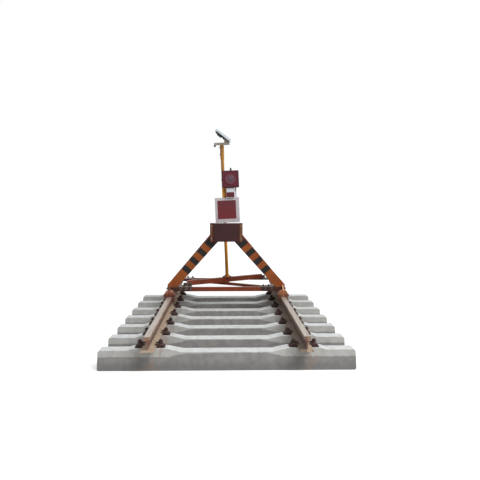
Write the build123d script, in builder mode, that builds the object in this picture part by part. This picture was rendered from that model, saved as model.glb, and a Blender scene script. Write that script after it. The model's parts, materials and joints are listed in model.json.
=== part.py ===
from build123d import *

import os
from math import atan2, cos, degrees, radians, sin, tan

# A fixed railway buffer stop: a steel head on two front legs and two raking struts, bolted to a braced
# base frame that grips the rails with four claws.  It stands on a short panel of track: two flat-bottomed
# rails on seven concrete sleepers.  A mast on the crossed braces carries a square sign, a lamp, a control
# box and a small solar panel.
# Millimetres.  X runs across the track, +Y along it away from an arriving wagon, Z up from the
# underside of the sleepers.

# Track panel
track_gauge_centres = 1505.0      # between the two rail centre lines
sleeper_pitch = 600.0
sleeper_count = 7
rail_overhang = 300.0             # rail beyond the last sleeper's centre line, at each end
sleeper_length = 2500.0
sleeper_base_width = 280.0
sleeper_top_width = 176.0
sleeper_seat_height = 201.0
sleeper_middle_height = 168.0
sleeper_end_height = 186.0
sleeper_seat_half = 165.0         # half the length of the raised seat under a rail
sleeper_ramp = 150.0              # the slope from the seat down to the middle
sleeper_edge_bevel = 14.0
pad_thickness = 10.0
pad_length = 170.0

# Flat-bottomed rail, about 50 kg for each metre
rail_height = 152.0
rail_head_width = 70.0
rail_head_side = 34.0             # upright flank of the head
rail_camber = 2.0                 # fall of the running surface from its middle to its edge
rail_head_depth = 42.0
rail_foot_width = 132.0
rail_foot_edge = 11.0
rail_foot_rise = 25.0
rail_web = 15.5
rail_crown_radius = 13.0
rail_fillet = 9.0
fish_hole_radius = 15.5
fish_hole_height = 68.5           # bolt holes above the underside of the rail
fish_hole_from_end = (66.0, 216.0, 356.0)

# Base frame of the stop
frame_front_y = 530.0
frame_length = 1060.0
beam_inner_x = 640.0              # from the track's centre line to the inner face of a base beam
beam_outer_side = 30.0            # base beam beyond the rail's centre line
beam_height = 56.0
beam_wall = 7.0
beam_clearance = 61.0             # from the top of the rail to the underside of the base beams
tie_depth = 50.0
tie_wall = 6.0
gusset_thickness = 8.0
gusset_reach_x = 180.0            # gusset inward from the beam
gusset_reach_y = 220.0            # gusset along the beam
gusset_square = 110.0             # full-width part of the gusset before it tapers
gusset_lap = 60.0                 # gusset lying over the beam
gusset_gap = 12.0                 # around the foot of a leg
gusset_flange = 45.0              # front flange, bent down over the end of the tie
rear_tie_height = 25.0
brace_width = 60.0
brace_wall = 6.0
upper_brace_height = 65.0
lower_brace_height = 34.0
brace_end_x = 530.0               # the upper brace stops here, clear of legs and struts
packing_side = 90.0
cleat_width = 116.0
cleat_height = 42.0
cleat_inset = 80.0                # from the end of the frame
end_plate = 12.0
lug_thickness = 12.0              # plate between the two jaws of a claw
lug_reach = 106.0
lug_nose = 88.0                   # height of the lug's front edge above the rail top
lug_shoulder = 28.0
lug_leg_rise = 145.0              # top of the lug where it is welded to the front of a leg

# Rail claws, each a pair of hooked jaws on either side of a lug
jaw_length = 88.0
jaw_setback = 12.0                # from the end of the beam to the jaws
claw_width = 118.0
claw_side_gap = 2.0
jaw_top = 85.0                    # above the top of the rail
jaw_round = 44.0
jaw_drop = 62.0                   # below the top of the rail
jaw_lip_top = 46.0                # top of the gripping lip, below the top of the rail
jaw_lip_half_gap = 20.0
jaw_toe = 10.0                    # bevel at the foot of the jaw
seat_gap = 0.3

# Legs, struts and head
leg_depth = 53.0
leg_wall = 7.0
head_base_rise = 727.0            # underside of the head above the rail top
head_height = 244.0
head_half_width = 171.0
head_front_y = 450.0
head_wall = 10.0
head_plate = 12.0                 # the striking plate
post_width = 45.0
post_wall = 8.0
post_rib = 8.0                    # upright rib on the front of each post
leg_inner_top_x = 105.0
leg_kink_rise = 793.0             # where the leg's outer edge leaves the post
leg_outer_foot_x = 782.0
leg_outer_foot_rise = 153.0
leg_inner_foot_x = 657.0
strut_width = 76.0
strut_depth = 50.0
strut_wall = 6.0
strut_foot_x = 734.0
strut_gap = 26.0                  # from the foot of a strut to the gusset beside it
strut_foot_back = 78.0            # foot centre in front of the rear end of the frame
strut_top_x = 165.0
strut_top_rise = 812.0
back_plate = 10.0

# Mast and what it carries
mast_foot_x = 14.0
mast_lean = 2.3                   # degrees, to the left
mast_radius = 23.0
mast_wall = 3.5
mast_length = 1858.0
mast_base_side = 130.0
mast_base_thickness = 8.0
mast_sleeve_wall = 5.0
mast_sleeve_length = 195.0
mast_collar_radius = 34.0
mast_collar_height = 26.0
sign_width = 340.0
sign_height = 350.0
sign_centre = (40.0, 940.0)       # beside and up the mast
sign_fold = 22.0
sign_sheet = 3.0
sign_face = (258.0, 258.0)
sign_face_shift = (-6.0, 6.0)
sign_film = 1.5
clamp_height = 30.0
clamp_wall = 5.0
clamp_ear = 18.0
clamp_pad = 2.0                   # from the clamp's ring to what it carries
lamp_width = 238.0
lamp_height = 240.0
lamp_depth = 84.0
lamp_x = 99.0                     # beside the mast's axis
lamp_round = 12.0
lamp_bezel_radius = 72.0
lamp_bezel_width = 9.0
lamp_bezel_depth = 14.0
lens_step_radius = 42.0           # the inner disc of the lens
lens_step = 4.0
lens_dish = 8.0
knob_x = 110.0                    # beside the mast's axis
knob_radius = 12.0
knob_height = 38.0
box_width = 113.0
box_height = 134.0
box_gap = 2.0                     # between the sign's top edge and the box
box_depth = 60.0
box_centre_x = 92.0
box_round = 5.0
label_height = 58.0
label_sheet = 1.5
duct_width = 25.0
duct_depth = 16.0
duct_gap = 6.0
panel_length = 250.0
panel_width = 350.0
panel_thickness = 30.0
panel_tilt = 40.0
panel_rim = 12.0
panel_recess = 2.5
bar_length = 218.0
bar_height = 32.0
bar_depth = 44.0
bar_wall = 4.0
ear_thickness = 5.0
ear_run = 75.0                    # how far each ear follows the panel from the end of the bar

# Heights and places that follow from the sizes above
rail_foot_z = sleeper_seat_height + pad_thickness
rail_top_z = rail_foot_z + rail_height
rail_x = track_gauge_centres / 2
panel_half = (sleeper_count - 1) * sleeper_pitch / 2
rail_length = 2 * (panel_half + rail_overhang)
beam_bottom_z = rail_top_z + beam_clearance
beam_top_z = beam_bottom_z + beam_height
frame_rear_y = frame_front_y + frame_length
frame_middle_y = frame_front_y + frame_length / 2
gusset_top_z = beam_top_z + gusset_thickness
upper_brace_top_z = gusset_top_z + upper_brace_height
beam_width = rail_x + beam_outer_side - beam_inner_x
leg_back_y = frame_front_y + leg_depth
head_base_z = rail_top_z + head_base_rise
head_half_outer = head_half_width + post_width
head_depth = leg_back_y - head_front_y

os.makedirs("parts", exist_ok=True)


def keep(piece, name):
    """Label a finished piece and write it to its own file."""
    piece.part.label = name
    export_step(piece.part, f"parts/{name}.step")


def facing(x, y, z):
    """A plane that faces an arriving wagon: local x runs across the track, local y runs up."""
    return Plane(origin=(x, y, z), x_dir=(1, 0, 0), z_dir=(0, -1, 0))


def channel(width, depth, wall):
    """A channel section: its web lies along local x, its two flanges point along +y."""
    with Locations((0, depth / 2)):
        Rectangle(width, depth)
    with Locations((0, wall + depth / 2)):
        Rectangle(width - 2 * wall, depth, mode=Mode.SUBTRACT)


# Sleepers: an elevation that rises at the two rail seats, cut by a tapering cross-section
seat_inner = rail_x - sleeper_seat_half
seat_outer = rail_x + sleeper_seat_half
for index in range(sleeper_count):
    sleeper_y = index * sleeper_pitch - panel_half
    with BuildPart() as sleeper:
        with BuildSketch(facing(0, sleeper_y, 0)):
            with BuildLine():
                Polyline(
                    (0, 0),
                    (sleeper_length / 2, 0),
                    (sleeper_length / 2, sleeper_end_height),
                    (seat_outer + sleeper_ramp / 3, sleeper_end_height),
                    (seat_outer, sleeper_seat_height),
                    (seat_inner, sleeper_seat_height),
                    (seat_inner - sleeper_ramp, sleeper_middle_height),
                    (0, sleeper_middle_height),
                )
                mirror(about=Plane.YZ)
            make_face()
        extrude(amount=sleeper_base_width / 2, both=True)
        with BuildSketch(Plane.YZ):
            with BuildLine():
                Polyline(
                    (sleeper_y - sleeper_base_width / 2, 0),
                    (sleeper_y + sleeper_base_width / 2, 0),
                    (sleeper_y + sleeper_top_width / 2, sleeper_seat_height),
                    (sleeper_y - sleeper_top_width / 2, sleeper_seat_height),
                    close=True,
                )
            make_face()
        extrude(amount=sleeper_length, both=True, mode=Mode.INTERSECT)
        chamfer(sleeper.edges().filter_by(Axis.Y).group_by(Axis.X)[0], sleeper_edge_bevel)
        chamfer(sleeper.edges().filter_by(Axis.Y).group_by(Axis.X)[-1], sleeper_edge_bevel)
    keep(sleeper, f"sleeper_{index + 1}")

# Rails, with the bolt holes for a pair of fishplates at the end where the next rail joins
head_flank_bottom = rail_height - rail_camber - rail_head_side
for side, side_name in ((-1, "left"), (1, "right")):
    with BuildPart() as rail:
        with BuildSketch(facing(side * rail_x, -rail_length / 2, rail_foot_z)) as rail_profile:
            with BuildLine():
                Polyline(
                    (0, 0),
                    (rail_foot_width / 2, 0),
                    (rail_foot_width / 2, rail_foot_edge),
                    (rail_web / 2, rail_foot_rise),
                    (rail_web / 2, rail_height - rail_head_depth),
                    (rail_head_width / 2, head_flank_bottom),
                    (rail_head_width / 2, rail_height - rail_camber),
                    (0, rail_height),
                )
                mirror(about=Plane.YZ)
            make_face()
            web_corners = rail_profile.vertices().filter_by(lambda v: abs(abs(v.X) - rail_web / 2) < 1)
            fillet(web_corners, rail_fillet)
            head_corners = rail_profile.vertices().group_by(Axis.Y)[-2]
            fillet(head_corners, rail_crown_radius)
        extrude(amount=-rail_length)
        hole_z = rail_foot_z + fish_hole_height
        with BuildSketch(Plane.YZ.offset(side * rail_x)):
            with Locations([(hole - rail_length / 2, hole_z) for hole in fish_hole_from_end]):
                Circle(fish_hole_radius)
        extrude(amount=rail_web, both=True, mode=Mode.SUBTRACT)
    keep(rail, f"rail_{side_name}")

    with BuildPart() as pads:
        with BuildSketch(Plane.XY.offset(sleeper_seat_height)):
            with Locations((side * rail_x, 0)):
                with GridLocations(sleeper_pitch, sleeper_pitch, 1, sleeper_count):
                    Rectangle(rail_foot_width, pad_length)
        extrude(amount=pad_thickness)
    keep(pads, f"rail_pads_{side_name}")

# Base beams: channels lying web up, closed at each end by a plate with a lug that stands over the rail
beam_ends = (
    (frame_front_y, -1, lug_leg_rise),
    (frame_rear_y, 1, beam_clearance + beam_height),
)
for side, side_name in ((-1, "left"), (1, "right")):
    beam_x = side * (beam_inner_x + beam_width / 2)
    with BuildPart() as beam:
        with BuildSketch(facing(beam_x, frame_front_y, beam_top_z)):
            with Locations(Rotation(0, 0, 180)):
                channel(beam_width, beam_height, beam_wall)
        extrude(amount=-frame_length)
        for end_y, outward, lug_top in beam_ends:
            with BuildSketch(facing(beam_x, end_y, beam_bottom_z + beam_height / 2)):
                Rectangle(beam_width, beam_height)
            extrude(amount=outward * end_plate)
            with BuildSketch(Plane.YZ.offset(side * rail_x)):
                with BuildLine():
                    Polyline(
                        (end_y, rail_top_z + seat_gap),
                        (end_y + outward * lug_reach, rail_top_z + seat_gap),
                        (end_y + outward * lug_reach, rail_top_z + lug_nose),
                        (end_y + outward * lug_shoulder, rail_top_z + lug_top),
                        (end_y, rail_top_z + lug_top),
                        close=True,
                    )
                make_face()
            extrude(amount=lug_thickness / 2, both=True)
    keep(beam, f"base_beam_{side_name}")

# Claws: two round-shouldered jaws against the lug, whose lips hook under the head of the rail
claw_half = claw_width / 2
throat_half = rail_head_width / 2 + claw_side_gap
claw_rows = (
    ("front", frame_front_y - jaw_setback - jaw_length),
    ("rear", frame_rear_y + jaw_setback),
)
for row_name, claw_y in claw_rows:
    for side, side_name in ((-1, "left"), (1, "right")):
        with BuildPart() as claw:
            with BuildSketch(facing(side * rail_x, claw_y, rail_top_z)):
                with BuildLine():
                    Polyline(
                        (claw_half - jaw_round, jaw_top),
                        (lug_thickness / 2, jaw_top),
                        (lug_thickness / 2, seat_gap),
                        (throat_half, seat_gap),
                        (throat_half, -jaw_lip_top),
                        (jaw_lip_half_gap, -jaw_lip_top),
                        (jaw_lip_half_gap, -jaw_drop),
                        (claw_half - jaw_toe, -jaw_drop),
                        (claw_half, -jaw_drop + jaw_toe),
                        (claw_half, jaw_top - jaw_round),
                    )
                    CenterArc((claw_half - jaw_round, jaw_top - jaw_round), jaw_round, 0, 90)
                make_face()
                mirror(about=Plane.YZ)
            extrude(amount=-jaw_length)
        keep(claw, f"{row_name}_claw_{side_name}")

# Ties between the beams, their webs facing outwards; the rear one is a slim one
for name, web_y, turn, height in (
    ("front_tie", frame_front_y, -90, beam_height),
    ("rear_tie", frame_rear_y, 90, rear_tie_height),
):
    with BuildPart() as tie:
        with BuildSketch(Plane.YZ.offset(-beam_inner_x)):
            with Locations(Location((web_y, beam_top_z - height / 2), turn)):
                channel(height, tie_depth, tie_wall)
        extrude(amount=2 * beam_inner_x)
    keep(tie, name)

# Front gussets: on top of the beam and the tie, notched round the leg's foot, with a flange over the tie
notch_y = frame_front_y + leg_depth + gusset_gap
gusset_inner_x = beam_inner_x - gusset_reach_x
for side, side_name in ((-1, "left"), (1, "right")):
    with BuildPart() as gusset:
        with BuildSketch(Plane.XY.offset(beam_top_z)):
            with BuildLine():
                Polyline(
                    (side * (beam_inner_x - gusset_gap), frame_front_y),
                    (side * gusset_inner_x, frame_front_y),
                    (side * gusset_inner_x, frame_front_y + gusset_square),
                    (side * (beam_inner_x - gusset_gap), frame_front_y + gusset_reach_y),
                    (side * (beam_inner_x + gusset_lap), frame_front_y + gusset_reach_y),
                    (side * (beam_inner_x + gusset_lap), notch_y),
                    (side * (beam_inner_x - gusset_gap), notch_y),
                    close=True,
                )
            make_face()
        extrude(amount=gusset_thickness)
        flange_middle_x = side * (beam_inner_x - (gusset_reach_x + gusset_gap) / 2)
        with BuildSketch(facing(flange_middle_x, frame_front_y, gusset_top_z - gusset_flange / 2)):
            Rectangle(gusset_reach_x - gusset_gap, gusset_flange)
        extrude(amount=gusset_thickness)
    keep(gusset, f"front_gusset_{side_name}")

# Rear gussets: on top of the beams and the rear tie, stopping short of the feet of the struts
rear_gusset_lap = strut_foot_x - strut_width / 2 - strut_gap - beam_inner_x
for side, side_name in ((-1, "left"), (1, "right")):
    with BuildPart() as gusset:
        with BuildSketch(Plane.XY.offset(beam_top_z)):
            with BuildLine():
                Polyline(
                    (side * (beam_inner_x + rear_gusset_lap), frame_rear_y),
                    (side * gusset_inner_x, frame_rear_y),
                    (side * gusset_inner_x, frame_rear_y - gusset_square),
                    (side * (beam_inner_x - gusset_gap), frame_rear_y - gusset_reach_y),
                    (side * (beam_inner_x + rear_gusset_lap), frame_rear_y - gusset_reach_y),
                    close=True,
                )
            make_face()
        extrude(amount=gusset_thickness)
    keep(gusset, f"rear_gusset_{side_name}")

# Crossed braces: the lower one between the beams, the upper one on top of the gussets
brace_run_y = frame_length - 2 * tie_depth
brace_angle = degrees(atan2(brace_run_y, 2 * beam_inner_x))
upper_end_y = brace_run_y / 2 - gusset_gap - leg_wall
for name, turn, top_z, height, end_x, end_y in (
    ("lower_brace", -brace_angle, beam_top_z, lower_brace_height, beam_inner_x, brace_run_y / 2),
    ("upper_brace", brace_angle, upper_brace_top_z, upper_brace_height, brace_end_x, upper_end_y),
):
    along = Vector(cos(radians(turn)), sin(radians(turn)), 0)
    across = Vector(-sin(radians(turn)), cos(radians(turn)), 0)
    with BuildPart() as brace:
        with BuildSketch(Plane(origin=(0, frame_middle_y, top_z), x_dir=across, z_dir=along)):
            with Locations(Rotation(0, 0, 180)):
                channel(brace_width, height, brace_wall)
        extrude(amount=2 * beam_inner_x, both=True)
        with BuildSketch(Plane.XY.offset(top_z - height)):
            with Locations((0, frame_middle_y)):
                Rectangle(2 * end_x, 2 * end_y)
        extrude(amount=height, mode=Mode.INTERSECT)
    keep(brace, name)

with BuildPart() as packing:
    with BuildSketch(Plane.XY.offset(beam_top_z)):
        with Locations((0, frame_middle_y)):
            Rectangle(packing_side, packing_side)
    extrude(amount=gusset_thickness)
keep(packing, "brace_packing")

# Cleats: upright plates on the gussets at the two ends of the upper brace
cleat_x = gusset_inner_x + cleat_width / 2
front_cleat_y = frame_front_y + cleat_inset
rear_cleat_y = frame_rear_y - cleat_inset - gusset_thickness
for name, side, cleat_y in (("front_cleat", -1, front_cleat_y), ("rear_cleat", 1, rear_cleat_y)):
    with BuildPart() as cleat:
        with BuildSketch(facing(side * cleat_x, cleat_y, gusset_top_z)):
            with Locations((0, cleat_height / 2)):
                RectangleRounded(cleat_width, cleat_height, gusset_thickness / 2)
        extrude(amount=-gusset_thickness)
    keep(cleat, name)

# Front legs: pressed channels with closed ends, raking outwards from the head to the base beams
for side, side_name in ((-1, "left"), (1, "right")):
    with BuildPart() as leg:
        with BuildSketch(facing(0, frame_front_y, rail_top_z)) as leg_outline:
            with BuildLine():
                Polyline(
                    (side * leg_inner_top_x, head_base_rise),
                    (side * head_half_outer, head_base_rise),
                    (side * head_half_outer, leg_kink_rise),
                    (side * leg_outer_foot_x, leg_outer_foot_rise),
                    (side * leg_outer_foot_x, beam_clearance + beam_height),
                    (side * leg_inner_foot_x, beam_clearance + beam_height),
                    close=True,
                )
            make_face()
        extrude(amount=-leg_depth)
        with BuildSketch(facing(0, leg_back_y, rail_top_z)):
            add(offset(leg_outline.sketch_local, amount=-leg_wall, kind=Kind.INTERSECTION, mode=Mode.PRIVATE))
        extrude(amount=leg_depth - leg_wall, mode=Mode.SUBTRACT)
    keep(leg, f"front_leg_{side_name}")

# Head: a welded box between two channel posts, with a striking plate in front and a closing plate behind
with BuildPart() as head_box:
    with BuildSketch(facing(0, head_front_y, rail_top_z + head_base_rise)) as head_outline:
        with Locations((0, head_height / 2)):
            Rectangle(2 * head_half_width, head_height)
    extrude(amount=-head_depth)
    with BuildSketch(facing(0, leg_back_y, rail_top_z + head_base_rise)):
        with Locations((0, head_height / 2)):
            with GridLocations(head_half_width - head_wall / 2, head_height, 2, 1):
                Rectangle(head_half_width - 1.5 * head_wall, head_height - 2 * head_wall)
    extrude(amount=head_depth - head_wall, mode=Mode.SUBTRACT)
keep(head_box, "head_box")

with BuildPart() as striking_plate:
    with BuildSketch(facing(0, head_front_y, rail_top_z + head_base_rise)):
        with Locations((0, head_height / 2)):
            Rectangle(2 * head_half_width, head_height)
    extrude(amount=head_plate)
    chamfer(striking_plate.faces().sort_by(Axis.Y)[0].edges(), head_plate / 3)
keep(striking_plate, "striking_plate")

for side, side_name in ((-1, "left"), (1, "right")):
    with BuildPart() as post:
        with BuildSketch(Plane.XY.offset(rail_top_z + head_base_rise)):
            with Locations(Location((side * head_half_width, (head_front_y + leg_back_y) / 2), -side * 90)):
                channel(head_depth, post_width, post_wall)
        extrude(amount=head_height)
        rib_x = side * (head_half_width + post_width / 2)
        with BuildSketch(facing(rib_x, head_front_y, rail_top_z + head_base_rise + head_height / 2)):
            Rectangle(post_rib, head_height)
        extrude(amount=post_rib)
    keep(post, f"head_post_{side_name}")

with BuildPart() as closing_plate:
    with BuildSketch(facing(0, leg_back_y, rail_top_z + head_base_rise)):
        with Locations((0, head_height / 2)):
            RectangleRounded(2 * head_half_outer, head_height, back_plate)
    extrude(amount=-back_plate)
keep(closing_plate, "head_back_plate")

# Rear struts: channels raking back and outwards from the head to the rear corners of the base frame
head_back_y = leg_back_y + back_plate
for side, side_name in ((-1, "left"), (1, "right")):
    foot = Vector(side * strut_foot_x, frame_rear_y - strut_foot_back, beam_top_z)
    head_point = Vector(side * strut_top_x, head_back_y, rail_top_z + strut_top_rise)
    axis = head_point - foot
    level = Vector(0, 0, 1).cross(axis).normalized()
    past_ends = 2 * strut_width
    with BuildPart() as strut:
        with BuildSketch(Plane(origin=foot - axis.normalized() * past_ends, x_dir=level, z_dir=axis)):
            with Locations(Location((0, strut_depth / 2), 180)):
                channel(strut_width, strut_depth, strut_wall)
        extrude(amount=axis.length + 2 * past_ends)
        split(bisect_by=Plane.XY.offset(beam_top_z), keep=Keep.TOP)
        split(bisect_by=Plane(origin=(0, head_back_y, 0), z_dir=(0, 1, 0)), keep=Keep.TOP)
    keep(strut, f"rear_strut_{side_name}")

# Mast: a tube on a base plate bolted to the crossed braces, leaning a little to the left
mast_foot_z = upper_brace_top_z + mast_base_thickness
mast_up = Vector(-sin(radians(mast_lean)), 0, cos(radians(mast_lean)))
mast_across = Vector(cos(radians(mast_lean)), 0, sin(radians(mast_lean)))
mast_foot = Vector(mast_foot_x, frame_middle_y, mast_foot_z)


def on_mast(across, up, forward=0.0):
    """A point beside, up and in front of the foot of the leaning mast."""
    return mast_foot + mast_across * across + mast_up * up + Vector(0, -forward, 0)


def mast_front(across, up, forward):
    """A plane that faces an arriving wagon and leans with the mast."""
    return Plane(origin=on_mast(across, up, forward), x_dir=mast_across, z_dir=(0, -1, 0))


def mast_level(up, across=0.0, forward=0.0):
    """A plane square to the mast, local x across the track, local y along it."""
    return Plane(origin=on_mast(across, up, forward), x_dir=mast_across, z_dir=mast_up)


with BuildPart() as mast_base:
    with BuildSketch(Plane.XY.offset(upper_brace_top_z)):
        with Locations((mast_foot_x, frame_middle_y)):
            RectangleRounded(mast_base_side, mast_base_side, mast_base_thickness)
    extrude(amount=mast_base_thickness)
keep(mast_base, "mast_base")

with BuildPart() as mast:
    with BuildSketch(mast_level(-mast_radius)):
        Circle(mast_radius)
    extrude(amount=mast_radius + mast_length)
    with BuildSketch(mast_level(-mast_radius)):
        Circle(mast_radius - mast_wall)
    extrude(amount=mast_radius + mast_length - mast_wall, mode=Mode.SUBTRACT)
    with BuildSketch(Plane.XY.offset(mast_foot_z)):
        with Locations((mast_foot_x, frame_middle_y)):
            Circle(mast_collar_radius)
            Circle(mast_radius - mast_wall, mode=Mode.SUBTRACT)
    extrude(amount=mast_collar_height)
    split(bisect_by=Plane.XY.offset(mast_foot_z), keep=Keep.TOP)
keep(mast, "mast")

with BuildPart() as sleeve:
    with BuildSketch(mast_level(mast_length - mast_sleeve_length)):
        Circle(mast_radius + mast_sleeve_wall)
        Circle(mast_radius, mode=Mode.SUBTRACT)
    extrude(amount=mast_sleeve_length)
keep(sleeve, "mast_sleeve")


def clamp_ring(reach):
    """The section of a clamp round the mast: a front pad standing reach from the axis, and one bolted ear."""
    Circle(mast_radius + clamp_wall)
    with Locations((0, -reach / 2)):
        Rectangle(2 * mast_radius, reach)
    with Locations(((mast_radius + clamp_wall + clamp_ear) / 2, 0)):
        Rectangle(mast_radius + clamp_wall + clamp_ear, 2 * clamp_wall)
    Circle(mast_radius + seat_gap, mode=Mode.SUBTRACT)


# Sign: a square sheet with its edges folded back, on two clamps
sign_x, sign_up = sign_centre
sign_reach = mast_radius + clamp_wall + clamp_pad
with BuildPart() as sign:
    with BuildSketch(mast_front(sign_x, sign_up, sign_reach)):
        RectangleRounded(sign_width, sign_height, sign_fold / 2)
    extrude(amount=sign_fold)
    inner_width = sign_width - 2 * sign_sheet
    inner_height = sign_height - 2 * sign_sheet
    with BuildSketch(mast_front(sign_x, sign_up, sign_reach)):
        RectangleRounded(inner_width, inner_height, sign_fold / 2 - sign_sheet)
    extrude(amount=sign_fold - sign_sheet, mode=Mode.SUBTRACT)
    with BuildSketch(mast_front(sign_x, sign_up, sign_reach)):
        with GridLocations(0, sign_height / 2, 1, 2):
            Rectangle(inner_width, clamp_height)
    extrude(amount=sign_fold - sign_sheet)
keep(sign, "sign_plate")

with BuildPart() as sign_clamps:
    for clamp_up in (sign_up - sign_height / 4, sign_up + sign_height / 4):
        with BuildSketch(mast_level(clamp_up - clamp_height / 2)):
            clamp_ring(sign_reach)
        extrude(amount=clamp_height)
keep(sign_clamps, "sign_clamps")

square_x = sign_x + sign_face_shift[0]
square_up = sign_up + sign_face_shift[1]
with BuildPart() as sign_square:
    with BuildSketch(mast_front(square_x, square_up, sign_reach + sign_fold)):
        Rectangle(*sign_face)
    extrude(amount=sign_film)
keep(sign_square, "sign_red_square")

# Lamp: a square housing on one clamp, with a ring round a stepped lens and a short sensor on top
box_up = sign_up + sign_height / 2 + box_gap + box_height / 2
lamp_up = box_up + box_height / 2 + lamp_height / 2
lamp_reach = mast_radius + clamp_wall + clamp_pad
lamp_front = lamp_reach + lamp_depth
with BuildPart() as lamp:
    with BuildSketch(mast_front(lamp_x, lamp_up, lamp_reach)):
        RectangleRounded(lamp_width, lamp_height, lamp_round)
    extrude(amount=lamp_depth)
    chamfer(lamp.faces().sort_by(Axis.Y)[0].edges(), lamp_round / 3)
keep(lamp, "lamp_housing")

with BuildPart() as bezel:
    with BuildSketch(mast_front(lamp_x, lamp_up, lamp_front)):
        Circle(lamp_bezel_radius)
        Circle(lamp_bezel_radius - lamp_bezel_width, mode=Mode.SUBTRACT)
    extrude(amount=lamp_bezel_depth)
keep(bezel, "lamp_bezel")

lens_radius = lamp_bezel_radius - lamp_bezel_width - seat_gap
with BuildPart() as lens:
    with BuildSketch(Plane(origin=on_mast(lamp_x, lamp_up, lamp_front), x_dir=mast_across, z_dir=mast_up)):
        with BuildLine():
            Polyline(
                (0, 0),
                (lens_radius, 0),
                (lens_radius, -lens_dish),
                (lens_step_radius, -lens_dish - lens_step),
                (lens_step_radius, -lens_dish),
                (0, -lens_dish - lens_step),
                close=True,
            )
        make_face()
    revolve(axis=Axis(on_mast(lamp_x, lamp_up, lamp_front), (0, 1, 0)))
keep(lens, "lamp_lens")

with BuildPart() as knob:
    with BuildSketch(mast_level(lamp_up + lamp_height / 2, knob_x, lamp_reach + lamp_depth / 2)):
        Circle(knob_radius)
    extrude(amount=knob_height)
    chamfer(knob.faces().sort_by(Axis.Z)[-1].edges(), knob_radius / 3)
keep(knob, "lamp_sensor")

with BuildPart() as lamp_clamp:
    with BuildSketch(mast_level(lamp_up - clamp_height / 2)):
        clamp_ring(lamp_reach)
    extrude(amount=clamp_height)
keep(lamp_clamp, "lamp_clamp")

# Control box below the lamp, with a bare label plate, and a cable duct beside it
with BuildPart() as control_box:
    with BuildSketch(mast_front(box_centre_x, box_up, lamp_reach)):
        RectangleRounded(box_width, box_height, box_round)
    extrude(amount=box_depth)
    chamfer(control_box.faces().sort_by(Axis.Y)[0].edges(), box_round / 2)
keep(control_box, "control_box")

with BuildPart() as label:
    label_up = box_up + (box_height - label_height) / 2 - box_round
    with BuildSketch(mast_front(box_centre_x, label_up, lamp_reach + box_depth)):
        Rectangle(box_width - 2 * box_round, label_height)
    extrude(amount=label_sheet)
keep(label, "label_plate")

with BuildPart() as duct:
    duct_x = box_centre_x + box_width / 2 + duct_gap + duct_width / 2
    with BuildSketch(mast_front(duct_x, box_up, lamp_reach)):
        RectangleRounded(duct_width, box_height, duct_gap)
    extrude(amount=duct_depth)
keep(duct, "cable_duct")

# Solar panel: tilted on a channel bar with two ears, its low edge at the right-hand end of the bar
with BuildPart() as bar:
    with BuildSketch(mast_level(mast_length)):
        Rectangle(bar_length, bar_depth)
    extrude(amount=bar_height)
    with BuildSketch(mast_level(mast_length)):
        Rectangle(bar_length, bar_depth - 2 * bar_wall)
    extrude(amount=bar_height - bar_wall, mode=Mode.SUBTRACT)
keep(bar, "panel_bar")

ear_rise = ear_run * tan(radians(panel_tilt))
for side, side_name in ((1, "near"), (-1, "far")):
    with BuildPart() as ear:
        ear_forward = side * (bar_depth + ear_thickness) / 2 - ear_thickness / 2
        with BuildSketch(mast_front(0, mast_length + bar_height, ear_forward)):
            with BuildLine():
                Polyline(
                    (bar_length / 2, -bar_height),
                    (bar_length / 2, 0),
                    (bar_length / 2 - ear_run, ear_rise),
                    (bar_length / 2 - ear_run, -bar_height),
                    close=True,
                )
            make_face()
        extrude(amount=ear_thickness)
    keep(ear, f"panel_ear_{side_name}")

panel_along = mast_up * sin(radians(panel_tilt)) - mast_across * cos(radians(panel_tilt))
panel_normal = mast_up * cos(radians(panel_tilt)) + mast_across * sin(radians(panel_tilt))
panel_low = on_mast(bar_length / 2, mast_length + bar_height) + panel_normal * seat_gap
panel_middle = panel_low + panel_along * (panel_length / 2)
panel_top = panel_middle + panel_normal * panel_thickness
with BuildPart() as panel:
    with BuildSketch(Plane(origin=panel_middle, x_dir=panel_along, z_dir=panel_normal)):
        Rectangle(panel_length, panel_width)
    extrude(amount=panel_thickness)
    with BuildSketch(Plane(origin=panel_top, x_dir=panel_along, z_dir=panel_normal)):
        Rectangle(panel_length - 2 * panel_rim, panel_width - 2 * panel_rim)
    extrude(amount=-panel_recess, mode=Mode.SUBTRACT)
keep(panel, "solar_panel")
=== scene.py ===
# %% [markdown]
# # A railway buffer stop, dressed for its picture
#
# The real thing is a welded steel frame that grips two rails with claws. It is painted in orange and
# red-brown, and a leaning mast behind its head carries a sign, a lamp and a small solar panel. The shapes
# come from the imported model, whose nodes stay where they are, in metres. This file gives every part its
# finish and adds the small pieces that a fitter adds last: bolts, sprung clips, weld beads, screws and
# solar cells.

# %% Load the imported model
import json
import math

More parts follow.
